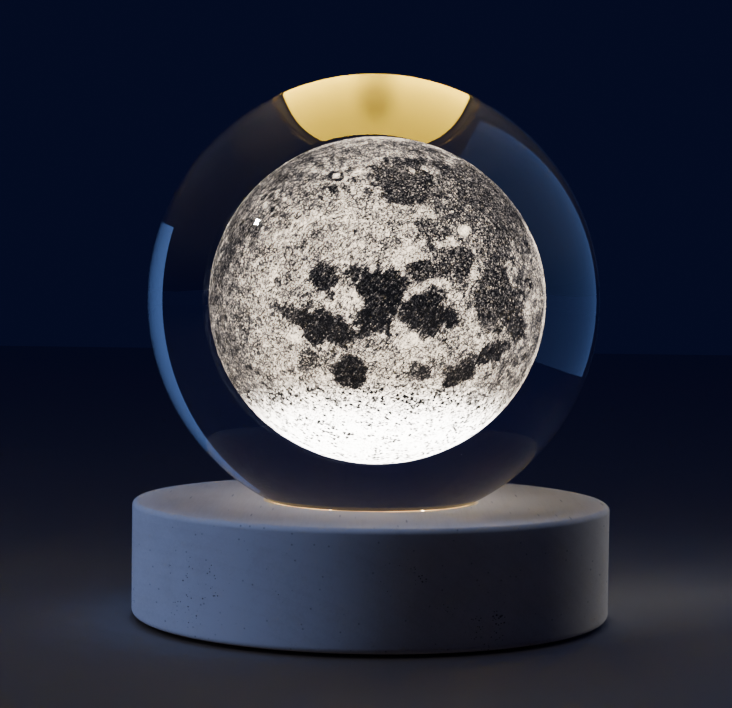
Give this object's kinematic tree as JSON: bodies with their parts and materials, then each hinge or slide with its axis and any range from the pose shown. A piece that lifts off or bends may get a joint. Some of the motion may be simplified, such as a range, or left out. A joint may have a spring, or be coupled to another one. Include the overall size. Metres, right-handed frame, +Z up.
{
  "type": "moon lamp",
  "caption": "Lit crystal ball with an engraved moon inside, standing in a shallow seat on a round wooden lamp base with a rear supply port and push button.",
  "frame": {"origin": "on the table under the middle of the round base", "axes": "+Z up through the ball, +Y to the back with the supply port and the button, +X to the right seen from the front"},
  "size_m": [0.0846, 0.0846, 0.0963],
  "materials": {
    "wood": "bare pale wood, fine grain from front to back, sanded matt",
    "diffuser": "milky light diffuser, glowing warm yellow when lit",
    "white_plastic": "moulded white reflector plastic",
    "screw_steel": "plain zinc-plated screws",
    "white_board": "white solder mask",
    "light_chip": "yellow phosphor light chips",
    "green_board": "green solder mask",
    "port_steel": "stamped steel port shell",
    "black_plastic": "black moulded plastic",
    "can_metal": "plain aluminium can",
    "ribbon": "flat ribbon lead, grey",
    "cover_plastic": "black fine-textured cover",
    "foot_rubber": "soft black rubber pads",
    "button_plastic": "off-white push button",
    "plunger_plastic": "black switch plunger",
    "crystal": "polished optical crystal, frosted flat foot",
    "engraving": "fine white laser engraving, lit warm white from below"
  },
  "bodies": {
    "base": {"wooden_body": "wood", "diffuser_disc": "diffuser", "reflector_cup": "white_plastic", "cup_screws": "screw_steel", "led_board": "white_board", "led_chips": "light_chip", "control_board": "green_board", "control_screws": "screw_steel", "usb_shell": "port_steel", "usb_tongue": "black_plastic", "switch_body": "black_plastic", "driver_chip": "black_plastic", "capacitor": "can_metal", "resistors": "black_plastic", "ribbon_lead": "ribbon", "bottom_cover": "cover_plastic", "cover_screws": "screw_steel", "rubber_feet": "foot_rubber"},
    "button": {"button_cap": "button_plastic", "switch_plunger": "plunger_plastic"},
    "ball": {"crystal_ball": "crystal", "engraved_moon": "engraving"}
  },
  "joints": [
    {"name": "ball_lift", "type": "slide", "parent": "base", "child": "ball", "axis": [0, 0, 1], "range_m": [0, 0.06]},
    {"name": "button_press", "type": "slide", "parent": "base", "child": "button", "axis": [0, -1, 0], "range_m": [0, 0.0005], "stiffness_N_per_m": 1500}
  ]
}
